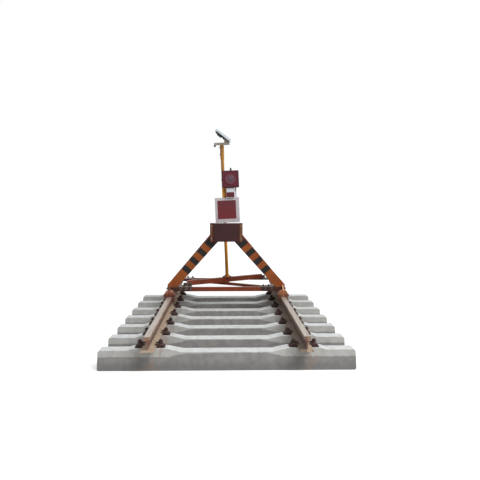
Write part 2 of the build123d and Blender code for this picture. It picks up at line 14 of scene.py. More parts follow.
import bmesh
import bpy
import numpy as np
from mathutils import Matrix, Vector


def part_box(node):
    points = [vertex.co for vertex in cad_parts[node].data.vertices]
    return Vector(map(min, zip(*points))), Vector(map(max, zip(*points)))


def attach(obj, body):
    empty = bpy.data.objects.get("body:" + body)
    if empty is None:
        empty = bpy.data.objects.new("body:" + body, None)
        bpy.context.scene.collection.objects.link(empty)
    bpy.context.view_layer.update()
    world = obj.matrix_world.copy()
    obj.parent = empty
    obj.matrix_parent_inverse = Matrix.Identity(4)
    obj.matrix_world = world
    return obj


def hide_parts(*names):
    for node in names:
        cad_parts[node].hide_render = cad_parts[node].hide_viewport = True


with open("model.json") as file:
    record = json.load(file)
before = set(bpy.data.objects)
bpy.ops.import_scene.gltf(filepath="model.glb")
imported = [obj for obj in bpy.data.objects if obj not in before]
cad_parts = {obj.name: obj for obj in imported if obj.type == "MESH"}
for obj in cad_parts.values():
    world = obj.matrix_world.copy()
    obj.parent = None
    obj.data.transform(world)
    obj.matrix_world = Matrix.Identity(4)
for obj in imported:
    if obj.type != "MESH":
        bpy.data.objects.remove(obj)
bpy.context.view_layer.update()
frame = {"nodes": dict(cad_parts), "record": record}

nodes = frame["nodes"]

# %% [markdown]
# ## Camera
#
# The photograph was taken from low down between the rails, a little left of the middle, looking along
# the track. The two rails meet at the vanishing point, and the rows of sleepers, 0.6 m apart, tell how
# strong the lens is. A camera that stands there, and is turned by the small angle between the vanishing
# point and the aim point, sees what the photograph shows.

# %% Camera at the photograph's viewing angle
PICTURE_SIDE = 480
FOCAL_PIXELS = 660.0
VANISHING_POINT = (224.0, 200.7)
AIM_POINT = (240.0, 213.0)
EYE_X = -0.030
EYE_Y = -8.26
EYE_HEIGHT = 1.270
SENSOR = 36.0

rail_low, rail_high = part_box("rail_right")
RAIL_TOP = rail_high.z
RAIL_X = (rail_low.x + rail_high.x) / 2


def place_camera():
    """Stand the camera on the track, and turn it from the vanishing point to the aim point."""
    data = bpy.data.cameras.new("camera")
    camera = bpy.data.objects.new("camera", data)
    bpy.context.scene.collection.objects.link(camera)
    data.sensor_width = SENSOR
    data.lens = FOCAL_PIXELS / PICTURE_SIDE * SENSOR
    data.shift_y = (AIM_POINT[1] - PICTURE_SIDE / 2) / PICTURE_SIDE
    pitch = math.atan((AIM_POINT[1] - VANISHING_POINT[1]) / FOCAL_PIXELS)
    yaw = math.atan((AIM_POINT[0] - VANISHING_POINT[0]) / FOCAL_PIXELS)
    camera.location = (EYE_X, EYE_Y, RAIL_TOP + EYE_HEIGHT)
    camera.rotation_euler = (math.pi / 2 - pitch, 0, -yaw)
    bpy.context.scene.camera = camera
    return camera


camera = place_camera()
print("camera at", [round(v, 3) for v in camera.location], "lens", round(camera.data.lens, 2), "mm")

# %% [markdown]
# ## A small language for finishes
#
# A finish is built from numbers that change over a surface, such as "how rusty is this spot". Blender
# wires such numbers together with Math nodes. To keep that readable, a Wire wraps one socket, and adding
# or multiplying wires adds the Math nodes. Every other node comes from one method of Tree.

# %% Wires and trees


class Wire:
    """One value in a tree of nodes. Arithmetic on it adds Math nodes to the tree."""

    def __init__(self, tree, socket):
        self.tree = tree
        self.socket = socket

    def math(self, operation, first, second=0.0):
        return self.tree.node("Math", {0: first, 1: second}, operation=operation)

    def __add__(self, other):
        return self.math("ADD", self, other)

    def __sub__(self, other):
        return self.math("SUBTRACT", self, other)

    def __rsub__(self, other):
        return self.math("SUBTRACT", other, self)

    def __mul__(self, other):
        return self.math("MULTIPLY", self, other)

    def __abs__(self):
        return self.math("ABSOLUTE", self)

    __radd__ = __add__
    __rmul__ = __mul__

    def fraction(self):
        return self.math("FRACT", self)

    def root(self):
        return self.math("SQRT", self)

    def most(self, other):
        return self.math("MAXIMUM", self, other)

    def rise(self, low, high):
        """0 at low and 1 at high with a smooth rise between; where high is below low it falls."""
        sockets = {"Value": self, "From Min": low, "From Max": high}
        return self.tree.node("MapRange", sockets, interpolation_type="SMOOTHSTEP")


def paint(red, green, blue):
    """The linear colour of a screen colour given from 0 to 255: ((c / 255 + 0.055) / 1.055) ** 2.4."""
    return tuple(((c / 255 + 0.055) / 1.055) ** 2.4 for c in (red, green, blue)) + (1.0,)


class Tree:
    """The nodes of one material or world."""

    def __init__(self, owner):
        owner.use_nodes = True
        self.owner = owner
        owner.node_tree.nodes.clear()

    def node(self, kind, sockets=None, out=0, **settings):
        """Add a node: its settings first, then the values or wires of its sockets; give one output back."""
        tree = self.owner.node_tree
        node = tree.nodes.new(f"ShaderNode{kind}")
        for name, value in settings.items():
            setattr(node, name, value)
        for key, value in (sockets or {}).items():
            if isinstance(value, Wire):
                tree.links.new(value.socket, node.inputs[key])
            else:
                node.inputs[key].default_value = value
        return Wire(self, node.outputs[out]) if node.outputs else None

    def ray(self, kind):
        """1 for rays of this kind and 0 for others."""
        return self.node("LightPath", out=f"Is {kind} Ray")

    def blend(self, share, first, second):
        """From first to second as share goes from 0 to 1; a colour is a wire or three screen values."""
        first, second = (c if isinstance(c, Wire) else paint(*c) for c in (first, second))
        return self.node("Mix", {0: share, 6: first, 7: second}, 2, data_type="RGBA")


print("screen grey 128 is", round(paint(128, 128, 128)[0], 3), "in linear light")

# %% [markdown]
# ## Light
#
# The day in the photograph is hazy: soft light from all over the sky, and a weak sun. A pale world gives
# the sky, and one wide lamp in front, above and to the right gives the sun. Both are kept low, so that
# a colour comes out about as it is written. What the camera, metal and glass see behind the object is
# plain white, and that white doesn't fall on the object.

# %% World and lamp
SKY_COLOUR = (0.93, 0.97, 1.0, 1.0)
SKY_STRENGTH = 0.52
WHITE = (1.0, 1.0, 1.0, 1.0)
SUN_POWER = 1840.0
SUN_SIZE = 8.75
SUN_PLACE = (7.0, -9.6, 12.2)
SUN_TURN = (math.radians(42), 0, math.radians(36))


def hang_the_sky():
    """A pale sky, and white where the largest flag of camera, glossy and transmission rays is 1."""
    world = bpy.data.worlds.new("hazy_sky")
    bpy.context.scene.world = world
    tree = Tree(world)
    sky = tree.node("Background", {"Color": SKY_COLOUR, "Strength": SKY_STRENGTH})
    white = tree.node("Background", {"Color": WHITE, "Strength": 1.0})
    seen = tree.ray("Camera").most(tree.ray("Glossy")).most(tree.ray("Transmission"))
    shown = tree.node("MixShader", {0: seen, 1: sky, 2: white})
    tree.node("OutputWorld", {"Surface": shown})


def hang_the_sun():
    """A wide square lamp, turned to face the object."""
    data = bpy.data.lights.new("weak_sun", "AREA")
    data.energy = SUN_POWER
    data.size = SUN_SIZE
    lamp = bpy.data.objects.new("weak_sun", data)
    bpy.context.scene.collection.objects.link(lamp)
    lamp.location = SUN_PLACE
    lamp.rotation_euler = SUN_TURN


bpy.context.scene.view_settings.view_transform = "Standard"
hang_the_sky()
hang_the_sun()
print("sky strength", SKY_STRENGTH, "and sun", SUN_POWER, "W")

# %% [markdown]
# ## One kind of material
#
# Every material here is a pattern that feeds one Principled shader. The patterns are worked out from
# Object coordinates, which are the frame's own metres, so noise has the same grain on every piece and a
# height in a formula is a height on the real thing.

# %% Finish


class Finish(Tree):
    """A material on its way: Object coordinates in, one Principled shader out."""

    def __init__(self, name):
        super().__init__(bpy.data.materials.new(name))
        self.place = self.node("TexCoord", out="Object")
        self.x, self.y, self.z = (self.part(self.place, axis) for axis in "XYZ")
        self.up = self.part(self.node("NewGeometry", out="Normal"), "Z")
        self.colour = None

    def part(self, vector, axis):
        return self.node("SeparateXYZ", {0: vector}, axis)

    def moved(self, stretch, shift=(0, 0, 0)):
        """The coordinates times stretch, plus shift."""
        return self.node("Mapping", {"Vector": self.place, "Location": shift, "Scale": stretch})

    def cloud(self, scale, detail=4.0, stretch=(1, 1, 1), shift=(0, 0, 0)):
        """Noise from about 0.3 to 0.7, in clouds about 1 / scale metres wide."""
        sockets = {"Vector": self.moved(stretch, shift), "Scale": scale, "Detail": detail, "Roughness": 0.55}
        return self.node("TexNoise", sockets)

    def cells(self, scale, stretch=(1, 1, 1)):
        """The distance to the nearest of many scattered points, about 1 / scale metres apart."""
        sockets = {"Vector": self.moved(stretch), "Scale": scale}
        return self.node("TexVoronoi", sockets, "Distance")

    def coat(self, share, colour):
        """Lay a colour over what is there; it hides all where share is 1, and nothing where share is 0."""
        self.colour = self.blend(share, self.colour, colour)

    def done(self, roughness, metallic=0.0, height=None, depth=0.001, shine=0.5, **plain):
        """Join everything to one Principled shader; height is a share of depth, which is in metres."""
        sockets = {
            "Base Color": self.colour, "Roughness": roughness, "Metallic": metallic,
            "Specular IOR Level": shine, **plain,
        }
        if height is not None:
            sockets["Normal"] = self.node("Bump", {"Height": height, "Distance": depth})
        shader = self.node("BsdfPrincipled", sockets)
        self.node("OutputMaterial", {"Surface": shader})
        return self.owner


slot_of = {row["node"]: row["material_slot"] for row in frame["record"]["subparts"]}
finishes = {}
own_finish = {}


def keep(slot, maker, *values, **named):
    """Make a finish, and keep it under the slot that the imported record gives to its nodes."""
    finishes[slot] = maker(slot, *values, **named)
    print(slot, "has", len(finishes[slot].node_tree.nodes), "shader nodes")


def keep_for(node_names, material):
    """Keep a finish for these nodes alone, in place of their slot's."""
    own_finish.update(dict.fromkeys(node_names, material))
    print(material.name, "is for", ", ".join(node_names))


print("slots to finish:", sorted(set(slot_of.values())))

# %% [markdown]
# ## Concrete sleepers
#
# The sleepers are cast in steel moulds. Sun and rain have bleached the tops almost white, with painted
# sunlight on them too. The flanks are grey with painted shade, and darker below a ragged line that rises
# towards the middle of the track. Rust has run down beside the rails. So the colour follows the way the
# surface faces and its height, and the small voids that air bubbles leave go into the bump.

# %% Concrete
DARK_LINE = 0.126
DARK_LINE_RISE = 0.034
DARK_LINE_SPAN = (0.60, 0.36)
RUST_REACH = (0.21, 0.09)


def concrete(name):
    """Painted sunlit tops, painted shade on flanks darker below a ragged line, rust by the rails, and voids.
    """
    f = Finish(name)
    grain = f.cloud(15.0, 7.0)
    # Painted light: tops get the pale crown tones as painted sunlight, and flanks get darker tones as painted
    # shade.
    top = f.up.rise(0.55, 0.9)
    dark_flank = f.blend(grain.rise(0.3, 0.72), (122, 120, 118), (140, 137, 134))
    clear = f.blend(grain.rise(0.3, 0.72), (163, 161, 157), (178, 176, 171))
    ragged = (f.cloud(26.0, 4.0) - 0.5) * 0.020
    line = abs(f.x).rise(*DARK_LINE_SPAN) * DARK_LINE_RISE + ragged + DARK_LINE
    flank = f.blend((f.z - line).rise(0.006, -0.006), clear, dark_flank)
    crown = f.blend(grain.rise(0.3, 0.7), (208, 209, 207), (228, 229, 227))
    f.colour = f.blend(top, flank, crown)
    # Darker towards the bottom of the flanks.
    darker_low = f.z.rise(DARK_LINE - 0.006, 0.02) * (1.0 - top)
    f.coat(darker_low * 0.55, (98, 98, 96))
    beside = abs(abs(f.x) - RAIL_X).rise(*RUST_REACH)
    streak = f.cloud(22.0, 5.0, (1, 1, 0.25)).rise(0.45, 0.7)
    f.coat(beside * streak * 0.45, (140, 108, 84))
    grime = f.cloud(7.0, 6.0, (1, 1, 0.5), (3, 1, 0)).rise(0.5, 0.74)
    f.coat(grime * 0.2, (122, 118, 110))
    voids = f.cells(150.0).rise(0.16, 0.05) * f.cloud(30.0).rise(0.5, 0.62)
    f.coat(voids * 0.7, (92, 92, 90))
    height = f.cloud(160.0, 3.0) * 0.5 + grain * 0.4 - voids * 0.9
    return f.done(0.92 - grain * 0.1, height=height, depth=0.0016)


keep("concrete", concrete)

# %% [markdown]
# ## Rails
#
# Few wheels come this far, so the rail's top is dull grey and a little pink with fresh rust instead of
# mirror bright. Below the head runs a line of brighter rust where the rain drips, the web is brown, and
# the foot is dusted with tan and freckled with dark grit. The right-hand rail turns its inner side away
# from the sun and is darker there.

# %% Rail steel
BAND_EDGE = (0.034, 0.028)
HEAD_EDGE = (0.040, 0.026)
TOP_EDGE = (0.007, 0.002)
DRIP_START = (0.028, 0.038)
DRIP_END = (0.058, 0.046)
FOOT_EDGE = (0.118, 0.132)


def rail_steel(name):
    """A dull running band, a drip line of rust below the head, a brown web and a dusty foot."""
    f = Finish(name)
    below = RAIL_TOP - f.z
    across = abs(abs(f.x) - RAIL_X)
    cloud = f.cloud(14.0, 6.0, (1, 0.25, 1))
    rust = f.blend(cloud.rise(0.32, 0.68), (96, 72, 60), (128, 98, 80))
    foot = f.blend(f.cloud(120.0, 4.0).rise(0.35, 0.65), (164, 142, 120), (192, 170, 146))
    grit = f.cells(15.0, (1, 0.8, 0)).rise(0.20, 0.13)
    foot = f.blend(grit * 0.8, foot, (84, 60, 50))
    f.colour = f.blend(below.rise(*FOOT_EDGE), rust, foot)
    drip = below.rise(*DRIP_END) * below.rise(*DRIP_START)
    f.coat(drip * cloud.rise(0.3, 0.55) * 0.8, (158, 92, 56))
    flank = f.blend(cloud.rise(0.35, 0.65), (118, 92, 78), (150, 122, 104))
    f.coat(below.rise(*HEAD_EDGE), flank)
    shaded = f.x.rise(RAIL_X + 0.004, RAIL_X - 0.004) * f.x.rise(0.0, 0.1)
    f.coat(shaded * 0.55, (58, 52, 48))
    band = below.rise(*TOP_EDGE) * across.rise(*BAND_EDGE)
    dull = f.cloud(40.0, 4.0, (1, 0.06, 1)).rise(0.35, 0.65)
    f.coat(band, f.blend(dull, (166, 152, 140), (185, 172, 160)))
    scale = f.cells(260.0).rise(0.5, 0.1)
    height = cloud * 0.5 + scale * (1.0 - band) * 0.5
    return f.done(0.82 - band * 0.42, band * 0.45, height, 0.0009)


keep("rail_steel", rail_steel)

# %% [markdown]
# ## Paint on steel
#
# Almost everything on the stop is brushed paint on rolled steel, out in the weather. One function serves
# all of it: two tones of the paint in slow clouds, a chalky fading and painted sunlight where a face
# looks at the sky, dirt in streaks that run down, and freckles of rust where the paint has broken. A part
# with marks of its own hands over a function that changes the paint before it weathers.

# %% Painted steel
CHALK_AND_SUNLIGHT = (196, 182, 172)
STREAK = (62, 48, 42)
RUST = (110, 58, 36)
RED_BROWN = ((136, 60, 32), (112, 50, 30))
DULL_PAINT = 0.28


def painted(name, light, dark, rust, dust, roughness=0.6, change=None):
    """Weathered paint: tones in clouds, chalk and painted sunlight on top faces, dirt streaks, and rust
    freckles.
    """
    f = Finish(name)
    slow = f.cloud(5.0, 5.0)
    brush = f.cloud(60.0, 4.0, (1, 1, 0.12))
    f.colour = f.blend(slow.rise(0.32, 0.68), light, dark)
    if change is not None:
        change(f)
    # Chalk and painted sunlight: faces that look up are lighter and pinkish white; the dust share sets both.
    f.coat(f.up.rise(0.35, 0.95) * dust, CHALK_AND_SUNLIGHT)
    streaks = f.cloud(34.0, 5.0, (1, 1, 0.15), (2, 0, 5)).rise(0.54, 0.74)
    f.coat(streaks * 0.35, STREAK)
    broken = f.cloud(75.0, 6.0, shift=(7, 3, 1)).rise(0.66, 0.72)
    patches = f.cloud(8.0, 3.0, shift=(1, 9, 4)).rise(0.5, 0.62)
    spots = broken * patches * rust * 2.0
    f.coat(spots, RUST)
    height = brush * 0.35 + f.cloud(300.0, 2.0) * 0.25 - spots * 0.6
    return f.done(roughness + slow * 0.2 - 0.1, height=height, depth=0.0006, shine=DULL_PAINT)


keep("red_brown", painted, *RED_BROWN, rust=0.35, dust=0.4)
keep("maroon", painted, (64, 30, 32), (54, 29, 28), rust=0.15, dust=0.3, roughness=0.75)

# %% [markdown]
# ## Stripes on the legs
#
# Black stripes warn the driver. They lie square to the leg, so the pattern needs one number that grows
# along the leg. Its distance divided by the pitch starts again at every whole number, and the paint is
# black in the first part of each turn. A little noise on the distance gives a brushed edge, and the
# formula stays sharp from close by.

# %% Striped legs
STRIPE_TOP = (0.165, RAIL_TOP + 0.7585)
STRIPE_FOOT = (0.696, RAIL_TOP + 0.135)
STRIPE_START = 0.045
STRIPE_PITCH = 0.153
STRIPE_WIDTH = 0.0755
STRIPE_COUNT = 4


def down_the_leg(f):
    """Distance from the first stripe: place times the leg's direction, plus a little noise."""
    run_x = STRIPE_FOOT[0] - STRIPE_TOP[0]
    run_z = STRIPE_FOOT[1] - STRIPE_TOP[1]
    length = math.hypot(run_x, run_z)
    along = (abs(f.x) - STRIPE_TOP[0]) * (run_x / length) + (f.z - STRIPE_TOP[1]) * (run_z / length)
    return along - STRIPE_START + (f.cloud(90.0, 3.0) - 0.5) * 0.006


def on_stripe(distance):
    """1 where the fraction of (distance / pitch) is below width / pitch, on the first four pitches."""
    turn = (distance * (1 / STRIPE_PITCH)).fraction()
    share = STRIPE_WIDTH / STRIPE_PITCH
    inside = turn.rise(share + 0.012, share - 0.012) * turn.rise(0.0, 0.02)
    last = STRIPE_PITCH * STRIPE_COUNT
    return inside * (distance.rise(-0.002, 0.002) * distance.rise(last, last - 0.01))


def striped(f):
    """The legs' black stripes; between the head and the first stripe the leg is darker, as painted shade
    below the head.
    """
    distance = down_the_leg(f)
    # Painted shade: the leg is darker between the head and the first stripe.
    f.coat(distance.rise(0.03, 0.02), (84, 42, 34))
    black = f.blend(f.cloud(40.0, 4.0).rise(0.35, 0.7), (20, 19, 18), (34, 31, 29))
    f.coat(on_stripe(distance), black)


keep("orange", painted, (150, 78, 28), (134, 68, 26), rust=0.25, dust=0.3, change=striped)

# %% [markdown]
# ## Posts, claws and corner plates
#
# Each of these has its own marks, with painted light and shade on top. The posts beside the striking
# plate have painted shade along their edges and a painted highlight on the rib. The claws on the right
# are lighter as painted sunlight, those on the left have a painted highlight on the crown, and all
# have painted shade low down. The corner plates on the right are darker with painted shade.

# %% Paint of posts, claws and plates
RIGHT_HALF = (-0.1, 0.1)
RIB_INSET = 0.003


def post_tones(f):
    """Browner than the legs, with painted shade along both edges and a painted highlight where the rib stands
    out.
    """
    low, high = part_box("head_post_right")
    inner, outer = low.x + RIB_INSET, high.x
    across = abs(f.x)
    # Painted shade along both edges of the post.
    edges = across.rise(inner + 0.012, inner + 0.002).most(across.rise(outer - 0.012, outer - 0.002))
    f.coat(edges * 0.75, (56, 34, 28))
    # A painted highlight on the rib, broken into patches.
    highlight_patches = f.cloud(26.0, 5.0, (1, 1, 0.3)).rise(0.36, 0.6)
    rib = f.y.rise(low.y + 0.006, low.y + 0.002) * highlight_patches
    f.coat(rib * 0.8, (158, 118, 88))


def claw_sides(f):
    """Painted sunlight on the right, a painted highlight on the left crown, and painted shade that fades
    upwards.
    """
    on_right = f.x.rise(*RIGHT_HALF)
    above = f.z - RAIL_TOP
    # Painted sunlight: the right-hand claws are lighter.
    f.coat(on_right, (164, 105, 70))
    # A painted highlight on the crown of the left-hand claws.
    crown_highlight = above.rise(0.030, 0.075) * (1.0 - on_right)
    f.coat(crown_highlight * 0.45, (200, 152, 126))
    # Painted shade, darkest low down on every claw.
    f.coat(above.rise(0.080, 0.0) * 0.75, (70, 42, 34))


def shaded_plates(f):
    """Painted shade: darker on the right."""
    f.coat(f.x.rise(*RIGHT_HALF) * 0.65, (46, 34, 32))


keep("claw_orange", painted, (156, 80, 54), (126, 62, 44), rust=0.45, dust=0.25, change=claw_sides)
keep("gusset_grey", painted, (110, 92, 88), (88, 72, 68), rust=0.4, dust=0.5, change=shaded_plates)
keep_for(("head_post_left", "head_post_right"),
         painted("post_paint", (116, 68, 38), (98, 56, 34), rust=0.25, dust=0.3, change=post_tones))

# %% [markdown]
# ## Beams and front tie
#
# Grime and painted shadow darken the paint below the legs' feet, on the front ends of the beams and on
# both ends of the front tie. The plates that stand out from the beams' ends, between the jaws of the
# claws, were painted with the claws; the right-hand ones carry painted sunlight and a painted highlight.

# %% Paint of beams and front tie
FRAME_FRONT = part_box("front_tie")[0].y
FRAME_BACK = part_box("rear_tie")[1].y
END_PLATE = 0.0125
GRIME_DEPTH = (0.07, 0.05)
GRIME_START = (0.02, 0.04)
NOSE_RISE = (0.08, 0.09)


def grime_and_shadow_at_feet(f):
    """Grime and painted shadow near the frame's front, from the corner plates' inner edges outwards, ragged
    at the start.
    """
    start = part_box("front_gusset_right")[0].x
    outwards = abs(f.x) - start + (f.cloud(60.0, 4.0) - 0.5) * 0.03
    under_leg = outwards.rise(*GRIME_START) * (f.y - FRAME_FRONT).rise(*GRIME_DEPTH)
    # Grime and painted shadow under the legs' feet.
    f.coat(under_leg * 0.8, (50, 34, 26))


def lug_tones(f):
    """The claws' paint beyond the end plates, with painted sunlight on the right-hand plates and a painted
    highlight on their upper half.
    """
    past = END_PLATE + 0.001
    beyond_front = f.y.rise(FRAME_FRONT - past, FRAME_FRONT - past - 0.001)
    beyond_back = f.y.rise(FRAME_BACK + past, FRAME_BACK + past + 0.001)
    grime_and_shadow_at_feet(f)
    # A painted highlight on the upper half and painted sunlight on the right-hand plates.
    nose_highlight = f.blend((f.z - RAIL_TOP).rise(*NOSE_RISE), (176, 112, 74), (250, 190, 144))
    claw_paint_and_light = f.blend(f.x.rise(*RIGHT_HALF), (110, 58, 40), nose_highlight)
    f.coat(beyond_front.most(beyond_back), claw_paint_and_light)


keep_for(("base_beam_left", "base_beam_right"),
         painted("beam_paint", *RED_BROWN, rust=0.35, dust=0.12, change=lug_tones))
keep_for(("front_tie",), painted("tie_paint", *RED_BROWN, rust=0.35, dust=0.4, change=grime_and_shadow_at_feet))

# %% [markdown]
# ## The mast's amber paint
#
# The mast has a painted highlight on its sunny right side, painted shade on its left, painted light
# between sign and lamp, and is browner towards its top. It leans, so x alone doesn't tell left from
# right. The distance from its leaning middle line does.

# %% Paint of the mast
MAST_LEAN = math.radians(2.3)
MAST_FOOT_X = 0.014
BROWNED = (1.2, 1.7)
base_low, base_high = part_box("mast_base")


def mast_tones_and_light(f):
    """Beside = x - foot x + (z - foot z) * tan(lean), with painted shade to the left and a painted highlight
    to the right.
    """
    beside = f.x - MAST_FOOT_X + (f.z - base_high.z) * math.tan(MAST_LEAN)
    # Painted shade on the left side of the mast.
    f.coat(beside.rise(-0.004, -0.020) * 0.6, (120, 66, 12))
    # A painted highlight on the right side of the mast.
    f.coat(beside.rise(0.002, 0.018) * 0.7, (236, 176, 84))
    sign_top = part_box("sign_plate")[1].z
    lamp_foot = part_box("lamp_housing")[0].z
    # Painted light on the stretch between sign and lamp, where the lamp's shadow falls.
    lit_between_sign_and_lamp = f.z.rise(sign_top - 0.02, sign_top) * f.z.rise(lamp_foot + 0.04, lamp_foot + 0.01)
    f.coat(lit_between_sign_and_lamp * 0.75, (246, 176, 66))
    f.coat((f.z - RAIL_TOP).rise(*BROWNED) * 0.6, (154, 110, 58))


keep("mast_yellow", painted, (182, 116, 22), (160, 98, 18), rust=0.2, dust=0.1, change=mast_tones_and_light)

# %% [markdown]
# ## Mouldings and small metal
#
# The lamp is moulded in dark red plastic. Rubber, zinc, aluminium and plain sheet make up the rest.
# These are smooth and small, so a little unevenness in tone, a fine grain and some dust are enough. The
# edges of the lamp's face lie in its own shade, and a dark frame runs round it.

# %% Plain finishes
LAMP_RIM = (0.094, 0.108)
DULL_PLASTIC = 0.3


def smooth(name, light, dark, roughness, metallic=0.0, scale=30.0, change=None, **plain):
    """A smooth material: two tones in clouds, a fine grain in the bump, and dust on what faces up."""
    f = Finish(name)
    tone = f.cloud(scale, 5.0)
    f.colour = f.blend(tone.rise(0.3, 0.7), light, dark)
    if change is not None:
        change(f)
    f.coat(f.up.rise(0.4, 0.95) * 0.22, (176, 168, 160))
    specks = f.cloud(scale * 12, 3.0)
    return f.done(roughness + tone * 0.16 - 0.08, metallic, specks, 0.0003, **plain)


def from_middle(f, name):
    """How far a spot lies beside and above the middle of a node's box."""
    low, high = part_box(name)
    return f.x - (low.x + high.x) / 2, f.z - (low.z + high.z) / 2


def lamp_rim(f):
    """Dark where the larger of the distances across and up the leaning face nears the edge."""
    beside, above = from_middle(f, "lamp_housing")
    across = abs(beside * math.cos(MAST_LEAN) + above * math.sin(MAST_LEAN))
    upward = abs(above * math.cos(MAST_LEAN) - beside * math.sin(MAST_LEAN))
    f.coat(across.most(upward).rise(*LAMP_RIM) * 0.7, (52, 16, 24))


keep("pad_rubber", smooth, (40, 40, 40), (56, 54, 52), 0.85)
keep("sign_white", smooth, (192, 183, 186), (178, 170, 174), 0.5, scale=12.0)
keep("lamp_red", smooth, (92, 28, 36), (80, 24, 31), 0.6, shine=DULL_PLASTIC)
keep("black", smooth, (34, 32, 34), (48, 46, 48), 0.5)
keep("white_plastic", smooth, (214, 217, 222), (196, 199, 204), 0.5)
keep("zinc", smooth, (168, 160, 150), (134, 124, 114), 0.46, metallic=0.55, scale=60.0)
keep("panel_frame", smooth, (196, 204, 208), (176, 184, 190), 0.4, metallic=0.5)
keep_for(("lamp_bezel",), smooth("bezel_red", (112, 54, 66), (104, 48, 60), 0.6))
keep_for(("lamp_housing",),
         smooth("housing_red", (94, 28, 42), (84, 24, 37), 0.6, change=lamp_rim, shine=DULL_PLASTIC))

# %% [markdown]
# ## Red film and red lens
#
# The sign is a white sheet with a red square of reflective film, which has a faint honeycomb. The lens
# is clear red plastic over a reflector, greyer in the middle where the reflector shows through. At this
# size a plain coloured surface looks the same.

# %% Film and lens
LENS_STEP = 0.0445


def sign_red(name):
    """Red film, a little brighter low down, with a faint honeycomb."""
    f = Finish(name)
    low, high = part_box("sign_red_square")
    tone = f.cloud(9.0, 4.0)
    f.colour = f.blend(f.z.rise(high.z, low.z), (91, 20, 28), (107, 20, 28))
    f.coat(tone.rise(0.4, 0.75) * 0.35, (80, 28, 36))
    comb = f.cells(240.0).rise(0.1, 0.5)
    return f.done(0.62 + tone * 0.1, height=comb, depth=0.0002)


def lens_red(name):
    """Radius = root of (beside squared + above squared); inside the step the lens is greyer."""
    f = Finish(name)
    beside, above = from_middle(f, "lamp_lens")
    radius = (beside * beside + above * above).root()
    ring = f.blend(f.cloud(50.0).rise(0.35, 0.65), (114, 63, 75), (122, 69, 82))
    f.colour = f.blend(radius.rise(LENS_STEP + 0.003, LENS_STEP - 0.003), ring, (86, 60, 72))
    return f.done(0.6, height=f.cloud(400.0) * 0.5, depth=0.0001)


keep("sign_red", sign_red)
keep("lens_red", lens_red)

# %% [markdown]
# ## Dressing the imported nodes
#
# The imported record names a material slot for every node. A node wears its slot's finish, unless one was
# kept for it alone.

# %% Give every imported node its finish
for name, item in nodes.items():
    item.data.materials.clear()
    item.data.materials.append(own_finish.get(name, finishes[slot_of[name]]))
print("dressed nodes:", len(nodes))

# %% [markdown]
# ## Surfaces from stacks of rings
#
# Every new piece here is a skin over a stack of closed rings. A bolt is a stack of circles and hexagons,
# a bent bar is one circle carried along a line, and a wedge is one outline carried from side to side.
# So one function joins ring to ring and closes both ends, and the other functions only work out where
# the points of the rings are, as whole arrays.

# %% Skin, merge and make


def skin(rings):
    """Join point j of ring i to point j of ring i + 1, and close both end rings with a fan to the middle."""
    count, points = rings.shape[:2]
    row = np.arange(count - 1)[:, None] * points
    here = np.arange(points)[None, :]
    after = (here + 1) % points
    quads = np.stack([row + here, row + after, row + points + after, row + points + here], -1).reshape(-1, 4)
    first = np.full(points, count * points)
    last = (count - 1) * points
    fans = np.concatenate([
        np.stack([first, after[0], here[0]], -1),
        np.stack([first + 1, last + here[0], last + after[0]], -1),
    ])
    middles = np.stack([rings[0].mean(0), rings[-1].mean(0)])
    return np.concatenate([rings.reshape(-1, 3), middles]), quads, fans


def merge(shapes):
    """Put many shapes into one list of points, four-sided faces and three-sided faces."""
    starts = np.cumsum([0] + [len(points) for points, _, _ in shapes])
    points = np.concatenate([shape[0] for shape in shapes])
    quads = np.concatenate([shape[1] + start for shape, start in zip(shapes, starts)])
    fans = np.concatenate([shape[2] + start for shape, start in zip(shapes, starts)])
    return points, quads, fans


def make(name, shapes, slot, material=None, flat_above=35.0):
    """A mesh, faces outwards, in its slot's finish or its own; edges below flat_above degrees are smooth."""
    points, quads, fans = merge(shapes)
    mesh = bpy.data.meshes.new(name)
    mesh.from_pydata(points.tolist(), [], quads.tolist() + fans.tolist())
    work = bmesh.new()
    work.from_mesh(mesh)
    bmesh.ops.recalc_face_normals(work, faces=work.faces)
    work.to_mesh(mesh)
    work.free()
    mesh.shade_smooth()
    mesh.set_sharp_from_angle(angle=math.radians(flat_above))
    mesh.materials.append(material or finishes[slot])
    piece = bpy.data.objects.new(name, mesh)
    bpy.context.scene.collection.objects.link(piece)
    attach(piece, "root")
    print(name, "points", len(points), "faces", len(quads) + len(fans))
    return piece


print("two rings of 8 points give", len(skin(np.zeros((2, 8, 3)))[1]), "quads")

# %% [markdown]
# ## Turned shapes and bent bars
#
# Two kinds of ring stack come back all the time. A turned shape has circles round one axis. A bar has
# circles square to a line, and cutting a line's corners again and again bends it smoothly.

# %% Directions, turned shapes and bars
UP = (0, 0, 1.0)
FORWARD = (0, -1, 0)


def frame_of(axis):
    """Three directions square to each other, the last along axis."""
    along = np.array(axis, float) / np.linalg.norm(axis)
    helper = np.array(UP) if abs(along[2]) < 0.9 else np.array((1.0, 0.0, 0.0))
    across = np.cross(helper, along)
    across /= np.linalg.norm(across)
    return np.stack([across, np.cross(along, across), along])


def placed(rings, origin, axis):
    """Rings made round the z axis at zero, carried to origin and turned to stand along axis."""
    return np.asarray(origin, float) + rings @ frame_of(axis)


def turned(profile, origin, axis, sides=24):
    """Each (radius, height) of the profile is a circle: radius * cos(angle), radius * sin(angle), height."""
    radius, height = np.array(profile, float).T
    angle = np.linspace(0, 2 * np.pi, sides, endpoint=False)
    ring = np.stack([np.cos(angle), np.sin(angle), np.zeros(sides)], -1)
    rings = radius[:, None, None] * ring[None] + height[:, None, None] * np.array(UP)
    return skin(placed(rings, origin, axis))


